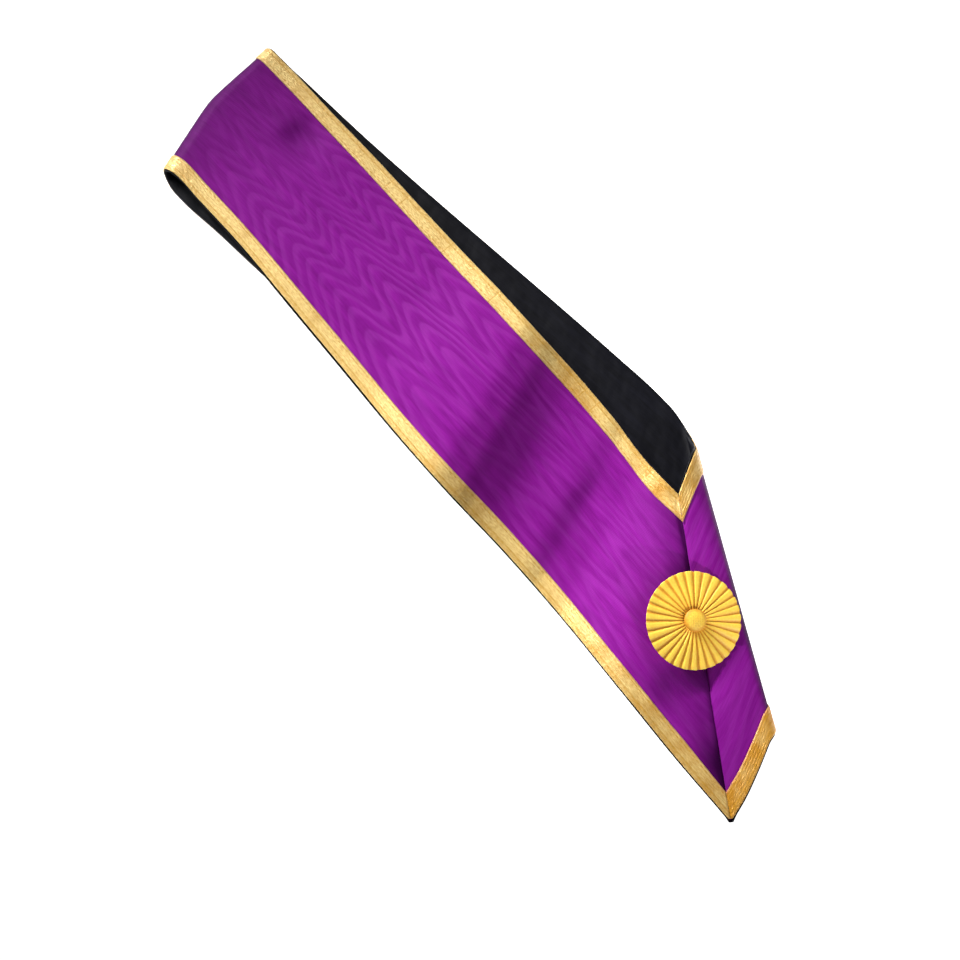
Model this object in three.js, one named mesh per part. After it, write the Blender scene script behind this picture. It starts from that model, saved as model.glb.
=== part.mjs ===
// A regalia collar of purple moire ribbon, folded nearly in half, lying on a flat surface.
// Units are millimetres. +X runs along the upper arm from the neck to the point of the V.
// +Y points to the neck-hole side of the band and +Z is up.
import * as THREE from "three";

// Thicknesses of the cloth layers and the clearance kept between touching pieces.
const FACE_THICKNESS = 1.0;
const LINING_THICKNESS = 1.0;
const LACE_THICKNESS = 1.0;
const CLEARANCE = 0.3;

// Shares of the band's width, from its outer edge (0) to its inner edge (1).
const LACE_SHARE = 0.1;
const FACE_INSET_SHARE = 0.004;
const LINING_OVERHANG_SHARE = 0.007;

// Half of the slit that the mitre seam keeps between the two ends of a strip.
const SEAM_HALF_SLIT = 0.35;
// Length on each side of the seam over which the two panels share one direction.
const SEAM_BLEND_LENGTH = 14;
// The lining shows as a small rounded tongue past the point of the V.
const TONGUE_SHARE = 0.008;
const TONGUE_LENGTH = 5;

// Shares at which the lace, the bare middle of the face and the lining are cut across.
const LACE_CUTS = [0, 0.5, 1];
const MIDDLE_CUTS = [0.13, 0.27, 0.42, 0.58, 0.73, 0.87];

// The rosette: a disc of radial pleats with a covered button at its centre.
const ROSETTE_RADIUS = 28.2;
const ROSETTE_PLEATS = 31;
const ROSETTE_HUB_RADIUS = 7.5;
const ROSETTE_HUB_HEIGHT = 3.4;
const ROSETTE_RIM_THICKNESS = 1.8;
const ROSETTE_RIM_LIFT = 2.0;
const PLEAT_HEIGHT = 0.9;
const PLEAT_SCALLOP = 0.5;
const ROSETTE_CENTRE = [-96.5, 56.5, 22.6];
const ROSETTE_TILT_ALONG = 0.24;
const ROSETTE_TILT_ACROSS = 0.02;
const BUTTON_RADIUS = 6.4;
const BUTTON_HEIGHT = 4.2;
const BUTTON_STEPS = 24;

// Cross sections of the band in order round the loop, from the mitre seam and back to it.
// Each has a point on the outer edge and one on the inner edge, midway between lining and face.
// bow pushes the middle of the band towards the back of the neck, and steps divides the
// stretch that follows.
const SECTIONS = [
  { place: "seam_of_the_v", outer: [0, 2, 3.6], inner: [-156, 98, 28.5], bow: 0, steps: 3 },
  { place: "upper_arm_1", outer: [-45, 0.8, 9], inner: [-183.1, 96.8, 29.5], bow: 0, steps: 3 },
  { place: "upper_arm_2", outer: [-95, 1, 16], inner: [-214, 99.6, 28.5], bow: 0, steps: 3 },
  { place: "upper_arm_3", outer: [-145, 1.8, 19.5], inner: [-246.1, 101.6, 25], bow: 0, steps: 3 },
  { place: "upper_arm_4", outer: [-195, 1.5, 18.5], inner: [-281.5, 102.6, 21], bow: 0, steps: 3 },
  { place: "upper_arm_5", outer: [-245, -0.3, 15.5], inner: [-319.6, 103.3, 18.5], bow: 0, steps: 3 },
  { place: "upper_arm_6", outer: [-295, -0.5, 14], inner: [-358.6, 102.4, 17.5], bow: 0, steps: 3 },
  { place: "upper_arm_7", outer: [-345, 0.4, 14.5], inner: [-398.4, 101.8, 17], bow: 0, steps: 3 },
  { place: "upper_arm_8", outer: [-395, 1, 15.5], inner: [-438.3, 101.6, 16], bow: 0, steps: 3 },
  { place: "upper_arm_9", outer: [-445, 2, 14.5], inner: [-480.3, 100.8, 14.5], bow: 1, steps: 3 },
  { place: "upper_arm_10", outer: [-488, 1, 12.6], inner: [-520.2, 100.6, 12.8], bow: 4, steps: 3 },
  { place: "neck_fold_top", outer: [-514, 0, 11.4], inner: [-543, 100, 11.6], bow: 6.5, steps: 3 },
  { place: "neck_fold_edge", outer: [-521, -2, 7], inner: [-548.5, 100, 7], bow: 7.5, steps: 3 },
  { place: "neck_fold_foot", outer: [-514, -4.5, 2.7], inner: [-542, 102, 2.7], bow: 6.5, steps: 3 },
  { place: "lower_arm_1", outer: [-500, -4.5, 2.45], inner: [-528, 104, 2.45], bow: 4, steps: 2 },
  { place: "lower_arm_2", outer: [-472, -1, 2.45], inner: [-504, 106, 2.45], bow: 0, steps: 3 },
  { place: "lower_arm_3", outer: [-425, 4, 2.45], inner: [-462, 109.5, 2.45], bow: 0, steps: 2 },
  { place: "lower_arm_4", outer: [-375, 11, 2.45], inner: [-418, 114.2, 2.45], bow: 0, steps: 2 },
  { place: "lower_arm_5", outer: [-320, 19, 2.45], inner: [-372, 119.7, 2.45], bow: 0, steps: 2 },
  { place: "lower_arm_6", outer: [-265, 26, 2.45], inner: [-328, 125.2, 2.45], bow: 0, steps: 2 },
  { place: "lower_arm_7", outer: [-210, 33, 2.45], inner: [-286, 130.3, 2.45], bow: 0, steps: 2 },
  { place: "lower_arm_8", outer: [-155, 38.5, 2.45], inner: [-248, 134.5, 2.45], bow: 0, steps: 2 },
  { place: "lower_arm_9", outer: [-105, 43, 2.45], inner: [-218, 137.5, 2.45], bow: 0, steps: 2 },
  { place: "lower_arm_10", outer: [-64, 46.5, 2.45], inner: [-197, 137.5, 2.5], bow: 0, steps: 3 },
  { place: "roll_foot", outer: [-40, 48.5, 2.5], inner: [-185.5, 134.8, 3.6], bow: 0, steps: 2 },
  { place: "roll_under", outer: [-28, 51.5, 3.2], inner: [-177.8, 131.2, 7.5], bow: 0, steps: 3 },
  { place: "roll_edge", outer: [-22.3, 53.2, 6.1], inner: [-173.7, 128, 14.5], bow: 0, steps: 3 },
  { place: "roll_over", outer: [-19.5, 47.4, 9.9], inner: [-170.3, 122.2, 24.6], bow: 0, steps: 3 },
  { place: "roll_top", outer: [-13, 34.5, 8.8], inner: [-165.3, 113.6, 28], bow: 0, steps: 3 },
  { place: "v_panel", outer: [-5.5, 18, 6.2], inner: [-160.6, 105.6, 28.6], bow: 0, steps: 3 },
  { place: "seam_of_the_v_again", outer: [0, 2, 3.6], inner: [-156, 98, 28.5], bow: 0, steps: 0 },
];

// How far the folds of the upper layer rise above its sections. at is measured along the arm
// at the middle of the band, and the folds slant across the band by FOLD_SLANT.
const FOLD_RISE = [
  { at: -520, rise: 0 },
  { at: -420, rise: 0 },
  { at: -348, rise: 1.6 },
  { at: -302, rise: 5.4 },
  { at: -279, rise: 6.2 },
  { at: -262, rise: 3.2 },
  { at: -245, rise: -2.8 },
  { at: -229, rise: -7.6 },
  { at: -213, rise: -10.6 },
  { at: -198, rise: -12.4 },
  { at: -183, rise: -14.9 },
  { at: -169, rise: -15.0 },
  { at: -150, rise: -11.2 },
  { at: -131, rise: -5.8 },
  { at: -113, rise: -1.8 },
  { at: -90, rise: 0 },
  { at: -20, rise: 0 },
];
const FOLD_SLANT = 0.38;
const BAND_MIDDLE_Y = 50;
// The folds lean towards this point, high over the front of the V.
const FOLD_FOCUS = [-3.6, -174.6, 951.1];
const LAST_UPPER_SECTION = 10;

function chord(a, b) {
  return Math.hypot(b[0] - a[0], b[1] - a[1], b[2] - a[2]);
}

// Positions of the sections along the loop: mean length of the two edges so far.
const STATIONS = [0];
for (let i = 1; i < SECTIONS.length; i += 1) {
  const outerStep = chord(SECTIONS[i - 1].outer, SECTIONS[i].outer);
  const innerStep = chord(SECTIONS[i - 1].inner, SECTIONS[i].inner);
  STATIONS.push(STATIONS[i - 1] + 0.5 * (outerStep + innerStep));
}
const LOOP_LENGTH = STATIONS[STATIONS.length - 1];

// Slope of one column at one knot, from the neighbouring knots. A level column has no slope
// where it turns or runs flat, so that it never swings past its own values.
function slopeAt(knots, values, i, level) {
  const last = values.length - 1;
  if (i === 0) {
    return (values[1] - values[0]) / (knots[1] - knots[0]);
  }
  if (i === last) {
    return (values[last] - values[last - 1]) / (knots[last] - knots[last - 1]);
  }
  const before = knots[i] - knots[i - 1];
  const after = knots[i + 1] - knots[i];
  const slopeBefore = (values[i] - values[i - 1]) / before;
  const slopeAfter = (values[i + 1] - values[i]) / after;
  if (level && slopeBefore * slopeAfter <= 0) {
    return 0;
  }
  if (level) {
    return (2 * slopeBefore * slopeAfter) / (slopeBefore + slopeAfter);
  }
  return (slopeBefore * after + slopeAfter * before) / (before + after);
}

// A smooth curve through one column of a table, by position along its knots.
function smoothColumn(knots, values, level) {
  const slopes = values.map((value, i) => slopeAt(knots, values, i, level));
  return (position) => {
    let i = 0;
    while (i < values.length - 2 && position > knots[i + 1]) {
      i += 1;
    }
    const length = knots[i + 1] - knots[i];
    const t = (position - knots[i]) / length;
    const t2 = t * t;
    const t3 = t2 * t;
    const fromStart = (2 * t3 - 3 * t2 + 1) * values[i];
    const fromEnd = (3 * t2 - 2 * t3) * values[i + 1];
    const startSlope = (t3 - 2 * t2 + t) * length * slopes[i];
    const endSlope = (t3 - t2) * length * slopes[i + 1];
    return fromStart + fromEnd + startSlope + endSlope;
  };
}

const OUTER = [0, 1, 2].map((k) => smoothColumn(STATIONS, SECTIONS.map((row) => row.outer[k]), k === 2));
const INNER = [0, 1, 2].map((k) => smoothColumn(STATIONS, SECTIONS.map((row) => row.inner[k]), k === 2));
const BOW = smoothColumn(STATIONS, SECTIONS.map((row) => row.bow), true);
const FOLD_AT = FOLD_RISE.map((row) => row.at);
const foldRise = smoothColumn(FOLD_AT, FOLD_RISE.map((row) => row.rise), true);

function smoothStep(t) {
  const c = Math.min(1, Math.max(0, t));
  return c * c * (3 - 2 * c);
}

// A point of the band midway between lining and face: station along the loop, share across.
function bandPoint(station, share) {
  const p = [0, 1, 2].map((k) => OUTER[k](station) * (1 - share) + INNER[k](station) * share);
  const half = 2 * share - 1;
  const tent = 1.05 - Math.sqrt(half * half + 0.0125);
  p[0] -= Math.max(0, BOW(station)) * Math.max(0, tent);
  const upperEnd = STATIONS[LAST_UPPER_SECTION];
  const upper = smoothStep((upperEnd - station) / 60);
  const fold = upper * foldRise(p[0] + FOLD_SLANT * (p[1] - BAND_MIDDLE_Y));
  const lean = fold / (FOLD_FOCUS[2] - p[2]);
  const x = p[0] + (FOLD_FOCUS[0] - p[0]) * lean;
  const y = p[1] + (FOLD_FOCUS[1] - p[1]) * lean;
  return new THREE.Vector3(x, y, p[2] + fold);
}

function rawNormal(station, share) {
  const e = 0.5;
  const a = bandPoint(Math.max(0, station - e), share);
  const b = bandPoint(Math.min(LOOP_LENGTH, station + e), share);
  const c = bandPoint(station, share - 0.01);
  const d = bandPoint(station, share + 0.01);
  return d.sub(c).cross(b.sub(a)).normalize();
}

// Direction from the lining to the face. Both panels share it at the seam.
function faceDirection(station, share) {
  const fromSeam = Math.min(station, LOOP_LENGTH - station);
  const own = rawNormal(station, share);
  if (fromSeam >= SEAM_BLEND_LENGTH) {
    return own;
  }
  const shared = rawNormal(0, share).add(rawNormal(LOOP_LENGTH, share)).normalize();
  return shared.lerp(own, smoothStep(fromSeam / SEAM_BLEND_LENGTH)).normalize();
}

// Stations at which a strip is cut into short lengths.
function stripStations() {
  const out = [];
  for (let i = 0; i < SECTIONS.length - 1; i += 1) {
    for (let k = 0; k < SECTIONS[i].steps; k += 1) {
      out.push(STATIONS[i] + ((STATIONS[i + 1] - STATIONS[i]) * k) / SECTIONS[i].steps);
    }
  }
  out.push(LOOP_LENGTH);
  out[0] = SEAM_HALF_SLIT;
  out[out.length - 1] = LOOP_LENGTH - SEAM_HALF_SLIT;
  return out;
}

// A closed solid from a grid of points on top, the same grid below, and walls between.
function closedSheet(top, bottom) {
  const rows = top.length;
  const columns = top[0].length;
  const points = [];
  const faces = [];
  const topIndex = (i, j) => i * columns + j;
  const bottomIndex = (i, j) => rows * columns + i * columns + j;
  for (const grid of [top, bottom]) {
    for (const row of grid) {
      for (const p of row) {
        points.push(p.x, p.y, p.z);
      }
    }
  }
  const quad = (a, b, c, d) => {
    faces.push(a, b, c, a, c, d);
  };
  for (let i = 0; i < rows - 1; i += 1) {
    for (let j = 0; j < columns - 1; j += 1) {
      quad(topIndex(i, j), topIndex(i, j + 1), topIndex(i + 1, j + 1), topIndex(i + 1, j));
      quad(bottomIndex(i, j), bottomIndex(i + 1, j), bottomIndex(i + 1, j + 1), bottomIndex(i, j + 1));
    }
    quad(topIndex(i, 0), topIndex(i + 1, 0), bottomIndex(i + 1, 0), bottomIndex(i, 0));
    const j = columns - 1;
    quad(topIndex(i + 1, j), topIndex(i, j), bottomIndex(i, j), bottomIndex(i + 1, j));
  }
  for (let j = 0; j < columns - 1; j += 1) {
    const i = rows - 1;
    quad(topIndex(0, j + 1), topIndex(0, j), bottomIndex(0, j), bottomIndex(0, j + 1));
    quad(topIndex(i, j), topIndex(i, j + 1), bottomIndex(i, j + 1), bottomIndex(i, j));
  }
  const geometry = new THREE.BufferGeometry();
  geometry.setAttribute("position", new THREE.Float32BufferAttribute(points, 3));
  geometry.setIndex(faces);
  return geometry;
}

// A strip of cloth round the loop, cut across at a list of shares, between two depths.
function strip(sharesAt, low, high) {
  const top = [];
  const bottom = [];
  for (const station of stripStations()) {
    const topRow = [];
    const bottomRow = [];
    for (const share of sharesAt(station)) {
      const p = bandPoint(station, share);
      const n = faceDirection(station, share);
      topRow.push(p.clone().addScaledVector(n, high));
      bottomRow.push(p.clone().addScaledVector(n, low));
    }
    top.push(topRow);
    bottom.push(bottomRow);
  }
  return closedSheet(top, bottom);
}

const HALF_CLEARANCE = CLEARANCE / 2;
const FACE_TOP = HALF_CLEARANCE + FACE_THICKNESS;
const LACE_BOTTOM = FACE_TOP + CLEARANCE;

const OUTER_LACE_SHARES = LACE_CUTS.map((cut) => cut * LACE_SHARE);
const INNER_LACE_SHARES = LACE_CUTS.map((cut) => 1 - LACE_SHARE + cut * LACE_SHARE);

// Cuts across a full-width strip from one share to another, in line with those of the lace.
function fullWidthShares(from, to) {
  return [from, ...OUTER_LACE_SHARES.slice(1), ...MIDDLE_CUTS, ...INNER_LACE_SHARES.slice(0, -1), to];
}

function faceShares() {
  return fullWidthShares(FACE_INSET_SHARE, 1 - FACE_INSET_SHARE);
}

function liningShares(station) {
  const fromSeam = Math.min(station, LOOP_LENGTH - station) / TONGUE_LENGTH;
  const tongue = TONGUE_SHARE * Math.exp(-fromSeam * fromSeam);
  return fullWidthShares(-LINING_OVERHANG_SHARE - tongue, 1 + LINING_OVERHANG_SHARE);
}

// A closed solid of revolution-like rings: each ring is a list of points, first and last
// rings close on a centre point.
function ringSolid(rings, firstCentre, lastCentre) {
  const count = rings[0].length;
  const points = [];
  const faces = [];
  for (const ring of rings) {
    for (const p of ring) {
      points.push(p[0], p[1], p[2]);
    }
  }
  points.push(...firstCentre, ...lastCentre);
  const first = rings.length * count;
  const last = first + 1;
  for (let k = 0; k < count; k += 1) {
    const next = (k + 1) % count;
    faces.push(first, next, k);
    for (let r = 0; r < rings.length - 1; r += 1) {
      const a = r * count + k;
      const b = r * count + next;
      const c = (r + 1) * count + next;
      const d = (r + 1) * count + k;
      faces.push(a, b, c, a, c, d);
    }
    const end = (rings.length - 1) * count;
    faces.push(last, end + k, end + next);
  }
  const geometry = new THREE.BufferGeometry();
  geometry.setAttribute("position", new THREE.Float32BufferAttribute(points, 3));
  geometry.setIndex(faces);
  return geometry;
}

// The pleated disc: a flat hub below, a rim that lifts, and pleats that deepen outwards.
function pleatedDisc() {
  const count = ROSETTE_PLEATS * 4;
  const ring = (radius, height, depth, scallop) => {
    const out = [];
    for (let k = 0; k < count; k += 1) {
      const angle = (2 * Math.PI * k) / count;
      const wave = Math.cos((2 * Math.PI * k) / 4);
      const r = radius + scallop * wave;
      out.push([r * Math.cos(angle), r * Math.sin(angle), height + depth * wave]);
    }
    return out;
  };
  const rimBottom = ROSETTE_RIM_LIFT;
  const rimTop = ROSETTE_RIM_LIFT + ROSETTE_RIM_THICKNESS;
  const middle = (ROSETTE_HUB_RADIUS + ROSETTE_RADIUS) / 2;
  const half = PLEAT_HEIGHT / 2;
  const rings = [
    ring(ROSETTE_HUB_RADIUS, 0, 0, 0),
    ring(ROSETTE_RADIUS - 1, rimBottom, 0, 0),
    ring(ROSETTE_RADIUS, rimBottom + 0.6, 0, PLEAT_SCALLOP),
    ring(ROSETTE_RADIUS - 0.5, rimTop, half, PLEAT_SCALLOP),
    ring(middle, rimTop + 0.4, half * 0.9, 0),
    ring(ROSETTE_HUB_RADIUS, ROSETTE_HUB_HEIGHT, half * 0.4, 0),
    ring(ROSETTE_HUB_RADIUS - 2, ROSETTE_HUB_HEIGHT - 0.4, 0, 0),
  ];
  return ringSolid(rings, [0, 0, 0], [0, 0, ROSETTE_HUB_HEIGHT - 0.4]);
}

// The covered button: a dome with a small rounded edge and a flat underside.
function domedButton() {
  const profile = [
    { radius: 0.93, height: 0 },
    { radius: 1, height: 0.1 },
    { radius: 1, height: 0.28 },
    { radius: 0.9, height: 0.56 },
    { radius: 0.7, height: 0.8 },
    { radius: 0.38, height: 0.95 },
  ];
  const base = ROSETTE_HUB_HEIGHT + PLEAT_HEIGHT * 0.5 + CLEARANCE;
  const rings = profile.map((row) => {
    const out = [];
    for (let k = 0; k < BUTTON_STEPS; k += 1) {
      const angle = (2 * Math.PI * k) / BUTTON_STEPS;
      const r = row.radius * BUTTON_RADIUS;
      out.push([r * Math.cos(angle), r * Math.sin(angle), base + row.height * BUTTON_HEIGHT]);
    }
    return out;
  });
  return ringSolid(rings, [0, 0, base], [0, 0, base + BUTTON_HEIGHT]);
}

// Sets a rosette piece on the seam of the V, tilted with the cloth under it.
function onTheV(geometry) {
  const up = new THREE.Vector3(ROSETTE_TILT_ALONG, ROSETTE_TILT_ACROSS, 1).normalize();
  const turn = new THREE.Quaternion().setFromUnitVectors(new THREE.Vector3(0, 0, 1), up);
  geometry.applyQuaternion(turn);
  geometry.translate(ROSETTE_CENTRE[0], ROSETTE_CENTRE[1], ROSETTE_CENTRE[2]);
  return geometry;
}

const pieces = [
  {
    name: "moire_ribbon_face",
    geometry: strip(faceShares, HALF_CLEARANCE, FACE_TOP),
    colour: 0x8b1b95,
    roughness: 0.5,
    metalness: 0,
  },
  {
    name: "black_satin_lining",
    geometry: strip(liningShares, -HALF_CLEARANCE - LINING_THICKNESS, -HALF_CLEARANCE),
    colour: 0x1f2026,
    roughness: 0.45,
    metalness: 0,
  },
  {
    name: "outer_edge_lace",
    geometry: strip(() => OUTER_LACE_SHARES, LACE_BOTTOM, LACE_BOTTOM + LACE_THICKNESS),
    colour: 0xe8be55,
    roughness: 0.4,
    metalness: 0.6,
  },
  {
    name: "inner_edge_lace",
    geometry: strip(() => INNER_LACE_SHARES, LACE_BOTTOM, LACE_BOTTOM + LACE_THICKNESS),
    colour: 0xe8be55,
    roughness: 0.4,
    metalness: 0.6,
  },
  { name: "rosette_pleats", geometry: onTheV(pleatedDisc()), colour: 0xf0b929, roughness: 0.45, metalness: 0.1 },
  { name: "rosette_button", geometry: onTheV(domedButton()), colour: 0xf2bd2c, roughness: 0.45, metalness: 0.1 },
];

// The origin is at the middle of the collar's box, at the surface that it lies on.
const box = new THREE.Box3();
for (const piece of pieces) {
  piece.geometry.computeBoundingBox();
  box.union(piece.geometry.boundingBox);
}
const middle = box.getCenter(new THREE.Vector3());

const collar = new THREE.Group();
collar.name = "masonic_collar";
for (const piece of pieces) {
  piece.geometry.translate(-middle.x, -middle.y, -box.min.z);
  piece.geometry.computeVertexNormals();
  const material = new THREE.MeshStandardMaterial({
    color: piece.colour,
    roughness: piece.roughness,
    metalness: piece.metalness,
    name: piece.name,
  });
  const mesh = new THREE.Mesh(piece.geometry, material);
  mesh.name = piece.name;
  collar.add(mesh);
}

export default collar;
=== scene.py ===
"""A regalia collar of purple moire ribbon, lying folded nearly in half, dressed for rendering."""

import math

import bmesh
import bpy
import numpy as np
from mathutils import Matrix, Vector


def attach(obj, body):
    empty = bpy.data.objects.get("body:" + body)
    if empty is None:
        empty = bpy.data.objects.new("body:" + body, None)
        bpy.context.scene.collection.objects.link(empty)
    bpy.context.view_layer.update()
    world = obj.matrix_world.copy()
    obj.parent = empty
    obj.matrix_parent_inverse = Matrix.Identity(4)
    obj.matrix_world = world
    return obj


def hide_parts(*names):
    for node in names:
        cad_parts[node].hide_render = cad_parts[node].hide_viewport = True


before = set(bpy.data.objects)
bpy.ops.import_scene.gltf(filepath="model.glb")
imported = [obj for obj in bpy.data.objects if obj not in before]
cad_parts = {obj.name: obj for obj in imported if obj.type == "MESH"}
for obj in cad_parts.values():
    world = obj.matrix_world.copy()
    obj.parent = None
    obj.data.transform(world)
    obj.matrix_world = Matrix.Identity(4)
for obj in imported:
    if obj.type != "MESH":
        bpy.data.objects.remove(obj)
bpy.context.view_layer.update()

MM = 0.001

# From the frame of the section table to the collar's own origin, in mm.
ORIGIN = np.array([274.54, -66.48, 0.0])

# Cross sections of the band in order round the loop, in mm, as in the solids: a point on the
# outer edge, one on the inner edge, and how far the middle bows towards the back of the neck.
SECTIONS = [
    ("seam_of_the_v", (0, 2, 3.6), (-156, 98, 28.5), 0),
    ("upper_arm_1", (-45, 0.8, 9), (-183.1, 96.8, 29.5), 0),
    ("upper_arm_2", (-95, 1, 16), (-214, 99.6, 28.5), 0),
    ("upper_arm_3", (-145, 1.8, 19.5), (-246.1, 101.6, 25), 0),
    ("upper_arm_4", (-195, 1.5, 18.5), (-281.5, 102.6, 21), 0),
    ("upper_arm_5", (-245, -0.3, 15.5), (-319.6, 103.3, 18.5), 0),
    ("upper_arm_6", (-295, -0.5, 14), (-358.6, 102.4, 17.5), 0),
    ("upper_arm_7", (-345, 0.4, 14.5), (-398.4, 101.8, 17), 0),
    ("upper_arm_8", (-395, 1, 15.5), (-438.3, 101.6, 16), 0),
    ("upper_arm_9", (-445, 2, 14.5), (-480.3, 100.8, 14.5), 1),
    ("upper_arm_10", (-488, 1, 12.6), (-520.2, 100.6, 12.8), 4),
    ("neck_fold_top", (-514, 0, 11.4), (-543, 100, 11.6), 6.5),
    ("neck_fold_edge", (-521, -2, 7), (-548.5, 100, 7), 7.5),
    ("neck_fold_foot", (-514, -4.5, 2.7), (-542, 102, 2.7), 6.5),
    ("lower_arm_1", (-500, -4.5, 2.45), (-528, 104, 2.45), 4),
    ("lower_arm_2", (-472, -1, 2.45), (-504, 106, 2.45), 0),
    ("lower_arm_3", (-425, 4, 2.45), (-462, 109.5, 2.45), 0),
    ("lower_arm_4", (-375, 11, 2.45), (-418, 114.2, 2.45), 0),
    ("lower_arm_5", (-320, 19, 2.45), (-372, 119.7, 2.45), 0),
    ("lower_arm_6", (-265, 26, 2.45), (-328, 125.2, 2.45), 0),
    ("lower_arm_7", (-210, 33, 2.45), (-286, 130.3, 2.45), 0),
    ("lower_arm_8", (-155, 38.5, 2.45), (-248, 134.5, 2.45), 0),
    ("lower_arm_9", (-105, 43, 2.45), (-218, 137.5, 2.45), 0),
    ("lower_arm_10", (-64, 46.5, 2.45), (-197, 137.5, 2.5), 0),
    ("roll_foot", (-40, 48.5, 2.5), (-185.5, 134.8, 3.6), 0),
    ("roll_under", (-28, 51.5, 3.2), (-177.8, 131.2, 7.5), 0),
    ("roll_edge", (-22.3, 53.2, 6.1), (-173.7, 128, 14.5), 0),
    ("roll_over", (-19.5, 47.4, 9.9), (-170.3, 122.2, 24.6), 0),
    ("roll_top", (-13, 34.5, 8.8), (-165.3, 113.6, 28), 0),
    ("v_panel", (-5.5, 18, 6.2), (-160.6, 105.6, 28.6), 0),
    ("seam_of_the_v_again", (0, 2, 3.6), (-156, 98, 28.5), 0),
]
# Rows of the table, counted from 0: the last on the upper arm, and the edge of the neck fold.
LAST_UPPER_SECTION = 10
NECK_SECTION = 12

# How far the upper layer rises above its sections, in mm, by distance along the folds' own
# direction, which is measured at the middle of the band and slants across it.
FOLD_RISE = [
    (-520, 0), (-420, 0), (-348, 1.6), (-302, 5.4), (-279, 6.2), (-262, 3.2), (-245, -2.8),
    (-229, -7.6), (-213, -10.6), (-198, -12.4), (-183, -14.9), (-169, -15.0), (-150, -11.2),
    (-131, -5.8), (-113, -1.8), (-90, 0), (-20, 0),
]
FOLD_SLANT = 0.38
FOLD_MIDDLE = 50
# Length in mm over which the folds fade out before the neck fold.
FOLD_FADE = 60
# Folds lean towards this point, high over the front of the V.
FOLD_FOCUS = (-3.6, -174.6, 951.1)

# The bow is a tent across the band: its height with a sharp tip, and how far the tip is rounded.
BOW_HEIGHT = 1.05
BOW_ROUNDING = 0.0125

BAND_WIDTH = 100.0
LACE_SHARE = 0.1
# Near the mitre the lace is stitched a little narrower: distance from the seam in mm and share,
# on the upper arm and on the panel past the seam.
LACE_BY_THE_SEAM = [(0, 0.087), (12, 0.091), (28, 0.1)]
LACE_PAST_THE_SEAM = [(0, 0.087), (40, 0.087), (75, 0.1)]
# Half the gap left between the two ends at the seam, and the length over which the directions of
# the two panels blend beside it, in mm.
SEAM_HALF_SLIT = 0.04
SEAM_BLEND_LENGTH = 14.0
# Places of the joins across the inner lace, in mm along the band as along_band counts them.
LACE_JOINS = [230.8, 242.1, 321.1, 365.7, 408.2, 423.1]

# Soft creases pressed into the upper arm, in mm: where each lies, its depth, how far its steep
# side and its long side reach along the arm, and half its width.
CREASES = [
    ("near_the_neck_fold", (-484, 78), 1.8, 14, 30, 14),
    ("past_the_valley", (-190, 64), 1.1, 12, 20, 13),
    ("below_the_rosette", (-74, 24), 1.6, 15, 22, 13),
]

# Depths from the middle of the band towards the face, in mm.
FACE_TOP = 1.15
FACE_THICKNESS = 0.7
LINING_TOP = -1.15
LINING_THICKNESS = 0.6
LACE_TOP = 1.95
LACE_THICKNESS = 0.55

ROSETTE_CENTRE = (-96.5, 56.5, 22.6)
ROSETTE_UP = Vector((0.28, 0.02, 1.0)).normalized()
ROSETTE_RADIUS = 28.0
ROSETTE_PLEATS = 31
BUTTON_RADIUS = 6.4
# The button is measured from a level over the rosette's foot: that level, then the heights of
# its widest part and of its top over it, in mm.
BUTTON_LEVEL = 4.1
BUTTON_WAIST = 1.4
BUTTON_TOP = 3.8

# Shape of the band

# A station is a distance in mm round the loop from the seam, at the middle of the band. A share
# is a place across the band, from 0 at the outer edge to 1 at the inner edge.
STATIONS = [0.0]
for before, after in zip(SECTIONS, SECTIONS[1:]):
    step = 0.5 * (math.dist(before[1], after[1]) + math.dist(before[2], after[2]))
    STATIONS.append(STATIONS[-1] + step)
STATIONS = np.array(STATIONS)
LOOP_LENGTH = STATIONS[-1]


def column_slopes(values, level, knots):
    """Slope at each knot. A level column has none where it turns, so it never swings past."""
    gaps = np.diff(knots)
    steep = np.diff(values) / gaps
    slopes = np.empty(len(values))
    slopes[0], slopes[-1] = steep[0], steep[-1]
    for i in range(1, len(values) - 1):
        a, b = steep[i - 1], steep[i]
        if level:
            slopes[i] = 0.0 if a * b <= 0 else 2 * a * b / (a + b)
        else:
            slopes[i] = (a * gaps[i] + b * gaps[i - 1]) / (gaps[i - 1] + gaps[i])
    return slopes


def smooth_column(values, level=False, knots=STATIONS):
    """A smooth curve through one column of a table, for arrays of positions."""
    values = np.asarray(values, float)
    knots = np.asarray(knots, float)
    slopes = column_slopes(values, level, knots)

    def at(position):
        i = np.clip(np.searchsorted(knots, position, side="right") - 1, 0, len(knots) - 2)
        length = knots[i + 1] - knots[i]
        t = (position - knots[i]) / length
        t2, t3 = t * t, t * t * t
        ends = (2 * t3 - 3 * t2 + 1) * values[i] + (3 * t2 - 2 * t3) * values[i + 1]
        bends = (t3 - 2 * t2 + t) * slopes[i] + (t3 - t2) * slopes[i + 1]
        return ends + bends * length

    return at


OUTER = [smooth_column([row[1][k] for row in SECTIONS], k == 2) for k in range(3)]
INNER = [smooth_column([row[2][k] for row in SECTIONS], k == 2) for k in range(3)]
BOW = smooth_column([row[3] for row in SECTIONS], True)
fold_rise = smooth_column([row[1] for row in FOLD_RISE], True, [row[0] for row in FOLD_RISE])


def smooth_step(t):
    t = np.clip(t, 0, 1)
    return t * t * (3 - 2 * t)


def fading(distance, rows):
    """Adds up soft bumps. A row is a bump's height and how far it reaches, as distance counts."""
    return sum(height * np.exp(-((distance / reach) ** 2)) for height, reach in rows)


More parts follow.
